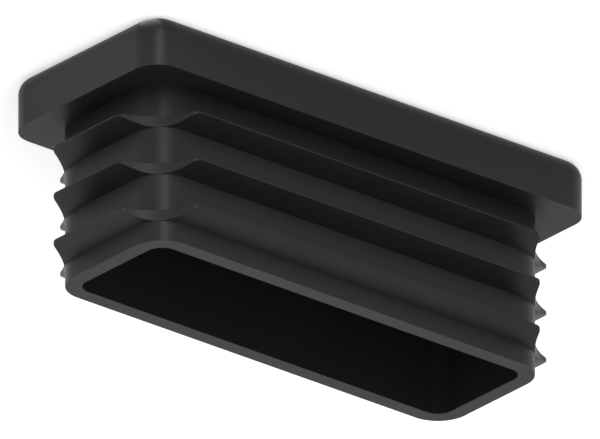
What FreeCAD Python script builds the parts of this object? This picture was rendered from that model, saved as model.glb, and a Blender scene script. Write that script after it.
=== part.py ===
import FreeCAD, Part
import math
import os

# End cap for a rectangular tube, moulded in one piece from plastic.
# A thick flat head closes the tube's end and a hollow plug with three
# flexible fins all round grips the inside of the tube.
# The origin is the centre of the head's outer face.
# +X runs along the long side, +Z from the head into the tube.

# Head, which has the tube's own outline
head_length = 50.0
head_width = 20.0
head_height = 5.0
head_corner_radius = 2.5
head_edge_radius = 1.5

# Plug, a rounded rectangle set in from the head on all four sides
shoulder_width = 2.75
plug_depth = 15.0
plug_corner_radius = 3.0
plug_wall = 1.5

# Cavity inside the plug
cavity_floor_radius = 0.5

# Fins: flat towards the head, sloped towards the plug's mouth
fin_count = 3
first_fin_gap = 3.08
mouth_gap = 1.88
fin_setback = 0.54
fin_root_thickness = 1.03
fin_tip_thickness = 0.12

# Hollow reliefs that bring the fins down to a thin web over the plug's corners
relief_radius = 7.0
relief_web = 0.02
relief_edge_radius = 0.95

# How far a fin is carried into the plug's wall to become one with it
fin_overlap = 0.4

# Sizes that follow from the ones above
plug_length = head_length - 2.0 * shoulder_width
plug_width = head_width - 2.0 * shoulder_width
cavity_length = plug_length - 2.0 * plug_wall
cavity_width = plug_width - 2.0 * plug_wall
cavity_corner_radius = plug_corner_radius - plug_wall
fin_reach = shoulder_width - fin_setback
fin_slope = (fin_root_thickness - fin_tip_thickness) / fin_reach
fin_inner_thickness = fin_root_thickness + fin_slope * fin_overlap
fin_span = plug_depth - first_fin_gap - mouth_gap - fin_root_thickness
fin_pitch = fin_span / max(fin_count - 1, 1)
relief_offset = (plug_corner_radius + relief_web + relief_radius) * math.sqrt(0.5)
relief_x = plug_length / 2.0 - plug_corner_radius + relief_offset
relief_y = plug_width / 2.0 - plug_corner_radius + relief_offset

Z_AXIS = FreeCAD.Vector(0.0, 0.0, 1.0)


def rounded_outline(length, width, radius):
    """Closed outline of a rounded rectangle about the Z axis, in the XY plane."""
    half_x = length / 2.0
    half_y = width / 2.0
    inner_x = half_x - radius
    inner_y = half_y - radius
    turn = radius * math.sqrt(0.5)
    edges = []
    for quarter in range(4):
        flat_x, flat_y = (half_x, half_y) if quarter % 2 == 0 else (half_y, half_x)
        core_x, core_y = (inner_x, inner_y) if quarter % 2 == 0 else (inner_y, inner_x)
        side = Part.makeLine(
            FreeCAD.Vector(flat_x, -core_y, 0.0),
            FreeCAD.Vector(flat_x, core_y, 0.0),
        )
        corner = Part.Arc(
            FreeCAD.Vector(flat_x, core_y, 0.0),
            FreeCAD.Vector(core_x + turn, core_y + turn, 0.0),
            FreeCAD.Vector(core_x, flat_y, 0.0),
        ).toShape()
        for edge in (side, corner):
            edge.rotate(FreeCAD.Vector(), Z_AXIS, 90.0 * quarter)
            edges.append(edge)
    return Part.Wire(edges)


def rounded_block(length, width, radius, bottom, height):
    """Block with a rounded rectangular outline, standing on the level called bottom."""
    outline = rounded_outline(length, width, radius)
    outline.translate(FreeCAD.Vector(0.0, 0.0, bottom))
    return Part.Face(outline).extrude(Z_AXIS * height)


def level_edges(shape, level):
    """Edges of the shape that lie flat at one height."""
    found = []
    for edge in shape.Edges:
        box = edge.BoundBox
        if abs(box.ZMin - level) < 1e-6 and abs(box.ZMax - level) < 1e-6:
            found.append(edge)
    return found


def upright_edges(shape):
    """Straight edges of the shape that run along Z."""
    found = []
    for edge in shape.Edges:
        box = edge.BoundBox
        if box.ZLength > 1e-6 and box.XLength < 1e-6 and box.YLength < 1e-6:
            found.append(edge)
    return found


def make_head():
    """Head plate with its outer edge rounded over; the edge at the tube stays sharp."""
    plate = rounded_block(head_length, head_width, head_corner_radius, 0.0, head_height)
    return plate.makeFillet(head_edge_radius, level_edges(plate, 0.0))


def make_cavity():
    """Space inside the plug, open at the mouth, with a small radius round its floor."""
    space = rounded_block(
        cavity_length, cavity_width, cavity_corner_radius, head_height, plug_depth
    )
    return space.makeFillet(cavity_floor_radius, level_edges(space, head_height))


def make_fin_ring():
    """One fin as a full ring: its section carried round the plug's outline."""
    inner = plug_length / 2.0 - fin_overlap
    outer = plug_length / 2.0 + fin_reach
    section = Part.makePolygon([
        FreeCAD.Vector(inner, 0.0, 0.0),
        FreeCAD.Vector(outer, 0.0, 0.0),
        FreeCAD.Vector(outer, 0.0, fin_tip_thickness),
        FreeCAD.Vector(inner, 0.0, fin_inner_thickness),
        FreeCAD.Vector(inner, 0.0, 0.0),
    ])
    path = rounded_outline(plug_length, plug_width, plug_corner_radius)
    return path.makePipe(Part.Face(section))


def make_fin_blank():
    """Upright blank with the fin's outline: a rectangle hollowed by a relief at each corner."""
    half_x = plug_length / 2.0 + fin_reach
    half_y = plug_width / 2.0 + fin_reach
    lowest_corner = FreeCAD.Vector(-half_x, -half_y, 0.0)
    blank = Part.makeBox(2.0 * half_x, 2.0 * half_y, fin_inner_thickness, lowest_corner)
    for sign_x in (-1.0, 1.0):
        for sign_y in (-1.0, 1.0):
            centre = FreeCAD.Vector(sign_x * relief_x, sign_y * relief_y, 0.0)
            relief = Part.makeCylinder(relief_radius, fin_inner_thickness, centre)
            blank = blank.cut(relief)
    return blank.makeFillet(relief_edge_radius, upright_edges(blank))


def make_fins():
    """The stack of fins, the first one a gap above the head's inner face."""
    fin = make_fin_ring().common(make_fin_blank())
    fins = []
    for number in range(fin_count):
        level = head_height + first_fin_gap + number * fin_pitch
        fins.append(fin.translated(FreeCAD.Vector(0.0, 0.0, level)))
    return fins


def make_end_cap():
    """Head, plug and fins joined into one body, then hollowed from the mouth."""
    plug = rounded_block(plug_length, plug_width, plug_corner_radius, head_height, plug_depth)
    body = make_head().fuse([plug] + make_fins())
    return body.cut(make_cavity()).removeSplitter()


os.makedirs("parts", exist_ok=True)
tube_end_cap = make_end_cap()
tube_end_cap.exportStep("parts/tube_end_cap.step")
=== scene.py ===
import logging
import math
from dataclasses import dataclass, field
from enum import Enum, IntEnum
from typing import Any

import bmesh
import bpy
from mathutils import Matrix, Vector

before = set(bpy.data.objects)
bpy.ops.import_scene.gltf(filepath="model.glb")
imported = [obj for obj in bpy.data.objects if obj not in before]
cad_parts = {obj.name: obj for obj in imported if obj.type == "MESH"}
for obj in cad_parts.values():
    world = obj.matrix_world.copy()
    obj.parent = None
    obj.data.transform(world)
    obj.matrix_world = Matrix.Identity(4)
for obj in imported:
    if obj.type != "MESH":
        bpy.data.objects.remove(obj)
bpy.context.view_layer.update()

log = logging.getLogger("tube_end_cap")

MM = 0.001
PICTURE_WIDTH_PX = 600
WHITE = (1.0, 1.0, 1.0, 1.0)


class CadNode(Enum):
    """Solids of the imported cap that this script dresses."""

    TUBE_END_CAP = "tube_end_cap"


class MaterialSlot(Enum):
    """Material slots that the record names."""

    CAP_PLASTIC = "cap_plastic"


class MixInput(IntEnum):
    """Inputs of the Mix node, which has several of the same name."""

    FACTOR = 0
    FLOAT_A = 2
    FLOAT_B = 3
    COLOUR_A = 6
    COLOUR_B = 7


class MixOutput(IntEnum):
    """Outputs of the Mix node, which are all named Result."""

    FLOAT = 0
    COLOUR = 2


def srgb_hex_to_linear(code: str) -> tuple[float, float, float, float]:
    """Turns an sRGB hex colour into the linear colour that shaders take.

    Args:
        code: Six hex digits, with or without a leading "#".

    Returns:
        Linear red, green, blue and an alpha of 1.
    """
    digits = code.lstrip("#")
    linear = []
    for start in (0, 2, 4):
        value = int(digits[start : start + 2], 16) / 255.0
        if value <= 0.04045:
            linear.append(value / 12.92)
        else:
            linear.append(((value + 0.055) / 1.055) ** 2.4)
    return (linear[0], linear[1], linear[2], 1.0)


def add_node(
    tree: bpy.types.NodeTree,
    kind: str,
    settings: dict[str, Any] | None = None,
    inputs: dict[str | int, Any] | None = None,
) -> bpy.types.Node:
    """Adds a node with its settings, its input values and the links into it.

    Args:
        tree: Node tree that gets the node.
        kind: Blender's type name of the node.
        settings: Attributes of the node, by name.
        inputs: Values of its inputs, by socket name or number. An output socket given as a
            value is linked.

    Returns:
        The new node.
    """
    node = tree.nodes.new(kind)
    for name, value in (settings or {}).items():
        setattr(node, name, value)
    for name, value in (inputs or {}).items():
        if isinstance(value, bpy.types.NodeSocket):
            tree.links.new(value, node.inputs[name])
        else:
            node.inputs[name].default_value = value
    return node


def empty_material(name: str) -> bpy.types.Material:
    """Makes a material with nodes and nothing in them."""
    material = bpy.data.materials.new(name)
    material.use_nodes = True
    material.node_tree.nodes.clear()
    return material


def direction(azimuth_deg: float, elevation_deg: float) -> Vector:
    """Points from the cap to a place on the sky.

    Args:
        azimuth_deg: 0 is the -Y side and 90 the +X side.
        elevation_deg: Height above the horizon.

    Returns:
        A vector of length one.
    """
    azimuth = math.radians(azimuth_deg)
    elevation = math.radians(elevation_deg)
    return Vector((
        math.sin(azimuth) * math.cos(elevation),
        -math.cos(azimuth) * math.cos(elevation),
        math.sin(elevation),
    ))


def place_object(
    name: str,
    content: bpy.types.ID,
    location: Vector,
    turn: Matrix,
) -> bpy.types.Object:
    """Puts a lamp or camera into the scene.

    Args:
        name: Name of the object.
        content: The lamp or camera.
        location: Where it goes.
        turn: Its rotation, as a matrix of three rows.

    Returns:
        The new object.
    """
    placed = bpy.data.objects.new(name, content)
    placed.location = location
    placed.rotation_mode = "QUATERNION"
    placed.rotation_quaternion = turn.to_quaternion()
    bpy.context.scene.collection.objects.link(placed)
    return placed


@dataclass(frozen=True)
class NoisePattern:
    """A noise on the surface, with its size in real millimetres."""

    size_mm: float
    detail: float
    roughness: float

    def build(self, tree: bpy.types.NodeTree, place: bpy.types.Node) -> bpy.types.NodeSocket:
        """Adds the noise to a material.

        Args:
            tree: Node tree of the material.
            place: Its texture coordinates.

        Returns:
            The noise's value, from 0 to 1.
        """
        noise = add_node(
            tree,
            "ShaderNodeTexNoise",
            inputs={
                "Vector": place.outputs["Object"],
                "Scale": 1.0 / (self.size_mm * MM),
                "Detail": self.detail,
                "Roughness": self.roughness,
            },
        )
        return noise.outputs["Fac"]


@dataclass(frozen=True)
class MouldedPolyethylene:
    """Black low-density polyethylene as it leaves the mould: a soft satin skin with a fine grain.

    The eye gets a near-black that is never quite even. The mould's spark-eroded steel leaves a
    grain of about a fifth of a millimetre that breaks up the gloss, and the melt's flow leaves
    broad clouds where the skin is a little duller or paler.
    """

    deep_colour: str = "#1e1e1e"
    pale_colour: str = "#222222"
    ior: float = 1.51
    specular_level: float = 0.22
    roughness_low: float = 0.37
    roughness_high: float = 0.45
    clouds: NoisePattern = NoisePattern(size_mm=7.0, detail=3.0, roughness=0.5)
    grain: NoisePattern = NoisePattern(size_mm=0.22, detail=2.0, roughness=0.55)
    grain_height_mm: float = 0.002
    grain_share: float = 0.4
    noise_low: float = 0.3
    noise_high: float = 0.7

    def material(self) -> bpy.types.Material:
        """Builds the polyethylene's material.

        Returns:
            A material that reads Object coordinates, so that its grain stays on the surface from
            every side.
        """
        material = empty_material("moulded_black_polyethylene")
        tree = material.node_tree
        place = add_node(tree, "ShaderNodeTexCoord")
        clouds = self.clouds.build(tree, place)
        grain = self.grain.build(tree, place)
        colour = add_node(
            tree,
            "ShaderNodeMix",
            settings={"data_type": "RGBA"},
            inputs={
                MixInput.FACTOR: clouds,
                MixInput.COLOUR_A: srgb_hex_to_linear(self.deep_colour),
                MixInput.COLOUR_B: srgb_hex_to_linear(self.pale_colour),
            },
        )
        unevenness = add_node(
            tree,
            "ShaderNodeMix",
            settings={"data_type": "FLOAT"},
            inputs={
                MixInput.FACTOR: self.grain_share,
                MixInput.FLOAT_A: clouds,
                MixInput.FLOAT_B: grain,
            },
        )
        roughness = add_node(
            tree,
            "ShaderNodeMapRange",
            inputs={
                "Value": unevenness.outputs[MixOutput.FLOAT],
                "From Min": self.noise_low,
                "From Max": self.noise_high,
                "To Min": self.roughness_low,
                "To Max": self.roughness_high,
            },
        )
        relief = add_node(
            tree,
            "ShaderNodeBump",
            inputs={"Height": grain, "Distance": self.grain_height_mm * MM, "Strength": 1.0},
        )
        skin = add_node(
            tree,
            "ShaderNodeBsdfPrincipled",
            inputs={
                "Base Color": colour.outputs[MixOutput.COLOUR],
                "Roughness": roughness.outputs["Result"],
                "IOR": self.ior,
                "Specular IOR Level": self.specular_level,
                "Normal": relief.outputs["Normal"],
            },
        )
        add_node(tree, "ShaderNodeOutputMaterial", inputs={"Surface": skin.outputs["BSDF"]})
        return material


@dataclass(frozen=True)
class PaintedFloor:
    """Matt white studio floor: the photograph's white, greyed only close to the cap by its shadow.

    The lifts are the light of its own that the floor gains where the camera or a gloss sees it.
    """

    paint_colour: str = "#f0f0f0"
    roughness: float = 0.9
    camera_lift: float = 0.5
    gloss_lift: float = 0.4

    def material(self) -> bpy.types.Material:
        """Builds the floor's paint.

        Returns:
            A diffuse white with the two lifts.
        """
        material = empty_material("matt_white_floor_paint")
        tree = material.node_tree
        paint = add_node(
            tree,
            "ShaderNodeBsdfDiffuse",
            inputs={
                "Color": srgb_hex_to_linear(self.paint_colour),
                "Roughness": self.roughness,
            },
        )
        rays = add_node(tree, "ShaderNodeLightPath")
        for_camera = add_node(
            tree,
            "ShaderNodeMath",
            settings={"operation": "MULTIPLY"},
            inputs={0: rays.outputs["Is Camera Ray"], 1: self.camera_lift},
        )
        strength = add_node(
            tree,
            "ShaderNodeMath",
            settings={"operation": "MULTIPLY_ADD"},
            inputs={
                0: rays.outputs["Is Glossy Ray"],
                1: self.gloss_lift,
                2: for_camera.outputs["Value"],
            },
        )
        glow = add_node(
            tree, "ShaderNodeEmission", inputs={"Strength": strength.outputs["Value"]}
        )
        both = add_node(
            tree,
            "ShaderNodeAddShader",
            inputs={0: paint.outputs["BSDF"], 1: glow.outputs["Emission"]},
        )
        add_node(tree, "ShaderNodeOutputMaterial", inputs={"Surface": both.outputs["Shader"]})
        return material


@dataclass
class EndCap:
    """The moulded cap: head, hollow plug and fins in one piece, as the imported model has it."""

    node: CadNode = CadNode.TUBE_END_CAP
    slot: MaterialSlot = MaterialSlot.CAP_PLASTIC
    finish: MouldedPolyethylene = field(default_factory=MouldedPolyethylene)

    def dress(self, nodes: dict[str, bpy.types.Object]) -> bpy.types.Object:
        """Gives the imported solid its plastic.

        Args:
            nodes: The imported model's objects, by node name.

        Returns:
            The dressed object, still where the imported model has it.
        """
        cap = nodes[self.node.value]
        cap.data.materials.clear()
        cap.data.materials.append(self.finish.material())
        return cap


@dataclass(frozen=True)
class SoftLight:
    """One round softbox, placed by direction and distance from the cap. Lengths are in metres."""

    name: str
    azimuth_deg: float
    elevation_deg: float
    size: float
    power: float
    distance: float = 0.6
    aim: tuple[float, float, float] = (0.0, 0.0, 0.01)

    def build(self) -> bpy.types.Object:
        """Hangs the softbox and turns it to the cap.

        Returns:
            The lamp.
        """
        lamp = bpy.data.lights.new(self.name, "AREA")
        lamp.shape = "DISK"
        lamp.size = self.size
        lamp.energy = self.power
        away = direction(self.azimuth_deg, self.elevation_deg)
        turn = away.to_track_quat("Z", "Y").to_matrix()
        return place_object(self.name, lamp, Vector(self.aim) + away * self.distance, turn)


@dataclass(frozen=True)
class FloorStrip:
    """Slender oval light just above the floor, from its near end outwards, that shines up.

    The cap's upright walls mirror the floor, and the rounded edge of its head mirrors the floor
    right beside it. So strips there give the near corner the narrow bright band and the glint
    that it has in the photograph. The camera doesn't see the strips. Lengths are in metres.
    """

    name: str
    near_end: tuple[float, float]
    azimuth_deg: float
    length: float
    width: float
    power: float
    height: float = 0.001

    def build(self) -> bpy.types.Object:
        """Lays the strip down.

        Returns:
            The lamp.
        """
        lamp = bpy.data.lights.new(self.name, "AREA")
        lamp.shape = "ELLIPSE"
        lamp.size = self.length
        lamp.size_y = self.width
        lamp.energy = self.power
        along = direction(self.azimuth_deg, 0.0)
        down = Vector((0.0, 0.0, -1.0))
        turn = Matrix((along, down.cross(along), down)).transposed()
        middle = Vector((*self.near_end, self.height)) + along * (self.length / 2.0)
        strip = place_object(self.name, lamp, middle, turn)
        strip.visible_camera = False
        return strip


# The key and low softboxes light the sides that the camera sees. The back and slope softboxes
# shine in the fins' sloped backs, and the rim softbox in the flat rim of the plug's mouth.
SOFTBOXES = (
    SoftLight("key_softbox", azimuth_deg=20.0, elevation_deg=45.0, size=0.5, power=0.60),
    SoftLight("low_softbox", azimuth_deg=35.0, elevation_deg=20.0, size=0.3, power=0.10),
    SoftLight("back_softbox", azimuth_deg=190.0, elevation_deg=45.0, size=0.25, power=0.163),
    SoftLight("rim_softbox", azimuth_deg=220.0, elevation_deg=25.0, size=0.3, power=0.091),
    SoftLight("slope_softbox", azimuth_deg=250.0, elevation_deg=52.0, size=0.25, power=0.117),
)

# The corner strips give the near corner its band, the first one mostly on the head and the far
# one on the plug. The short side strip lifts the head's short side a little. The last two give
# the head's rounded edge its glint and the glint's faint tail.
FLOOR_STRIPS = (
    FloorStrip(
        "corner_strip",
        near_end=(0.02442, -0.01054),
        azimuth_deg=33.0,
        length=0.053,
        width=0.0065,
        power=0.0022,
    ),
    FloorStrip(
        "corner_far_strip",
        near_end=(0.0298, -0.0212),
        azimuth_deg=28.0,
        length=0.040,
        width=0.004,
        power=0.0047,
    ),
    FloorStrip(
        "short_side_strip",
        near_end=(0.0281, -0.0100),
        azimuth_deg=180.0,
        length=0.020,
        width=0.0058,
        power=0.000068,
    ),
    FloorStrip(
        "glint_strip",
        near_end=(0.02392, -0.00820),
        azimuth_deg=64.0,
        length=0.0013,
        width=0.0026,
        power=0.0000175,
        height=0.00005,
    ),
    FloorStrip(
        "glint_tail_strip",
        near_end=(0.02434, -0.00904),
        azimuth_deg=50.0,
        length=0.0014,
        width=0.0030,
        power=0.000012,
        height=0.00005,
    ),
)


@dataclass
class Studio:
    """Plain floor, pale surroundings and the lamps."""

    floor_half_width: float = 3.0
    surround_strength: float = 0.595
    paint: PaintedFloor = field(default_factory=PaintedFloor)
    lamps: tuple[SoftLight | FloorStrip, ...] = SOFTBOXES + FLOOR_STRIPS

    def build_floor(self) -> bpy.types.Object:
        """Lays the floor that the cap's outer face rests on.

        Returns:
            The floor.
        """
        shape = bmesh.new()
        bmesh.ops.create_grid(shape, x_segments=1, y_segments=1, size=self.floor_half_width)
        mesh = bpy.data.meshes.new("studio_floor")
        shape.to_mesh(mesh)
        shape.free()
        mesh.materials.append(self.paint.material())
        floor = bpy.data.objects.new("studio_floor", mesh)
        bpy.context.scene.collection.objects.link(floor)
        return floor

    def build_surround(self) -> bpy.types.World:
        """Makes the world: white to the camera, and a dimmer even light on what it lights.

        Returns:
            The world, set on the scene.
        """
        world = bpy.data.worlds.new("studio_surround")
        world.use_nodes = True
        tree = world.node_tree
        tree.nodes.clear()
        rays = add_node(tree, "ShaderNodeLightPath")
        strength = add_node(
            tree,
            "ShaderNodeMix",
            settings={"data_type": "FLOAT"},
            inputs={
                MixInput.FACTOR: rays.outputs["Is Camera Ray"],
                MixInput.FLOAT_A: self.surround_strength,
                MixInput.FLOAT_B: 1.0,
            },
        )
        glow = add_node(
            tree,
            "ShaderNodeBackground",
            inputs={"Color": WHITE, "Strength": strength.outputs[MixOutput.FLOAT]},
        )
        add_node(tree, "ShaderNodeOutputWorld", inputs={"Surface": glow.outputs["Background"]})
        bpy.context.scene.world = world
        return world

    def build_lamps(self) -> list[bpy.types.Object]:
        """Hangs and lays the lamps in their order."""
        return [lamp.build() for lamp in self.lamps]


@dataclass(frozen=True)
class PhotoCamera:
    """Parallel camera of the photograph, turned over: the cap stands plug up and shows head up."""

    azimuth_deg: float = 40.0
    elevation_deg: float = 25.0
    roll_deg: float = 180.0
    pixels_per_mm: float = 11.478
    aim_height_mm: float = 9.308
    distance: float = 0.5
    clip_start: float = 0.01
    clip_end: float = 20.0

    def build(self) -> bpy.types.Object:
        """Places the camera and makes it the scene's own.

        Returns:
            The camera.
        """
        lens = bpy.data.cameras.new("photo_camera")
        lens.type = "ORTHO"
        lens.ortho_scale = PICTURE_WIDTH_PX / self.pixels_per_mm * MM
        lens.clip_start = self.clip_start
        lens.clip_end = self.clip_end
        back = direction(self.azimuth_deg, self.elevation_deg)
        upright = back.to_track_quat("Z", "Y").to_matrix()
        roll = Matrix.Rotation(math.radians(self.roll_deg), 3, "Z")
        aim = Vector((0.0, 0.0, self.aim_height_mm * MM))
        camera = place_object("photo_camera", lens, aim + back * self.distance, upright @ roll)
        bpy.context.scene.camera = camera
        return camera


def main() -> None:
    """Dresses the cap, builds the studio round it and reports each piece."""
    logging.basicConfig(level=logging.INFO, format="%(name)s: %(message)s")
    bpy.context.scene.view_settings.view_transform = "Standard"
    cap = EndCap().dress(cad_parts)
    log.info("%s dressed with %s", cap.name, cap.data.materials[0].name)
    studio = Studio()
    log.info("%s laid", studio.build_floor().name)
    log.info("%s set", studio.build_surround().name)
    for lamp in studio.build_lamps():
        log.info("%s placed", lamp.name)
    log.info("%s placed", PhotoCamera().build().name)


if __name__ == "__main__":
    main()
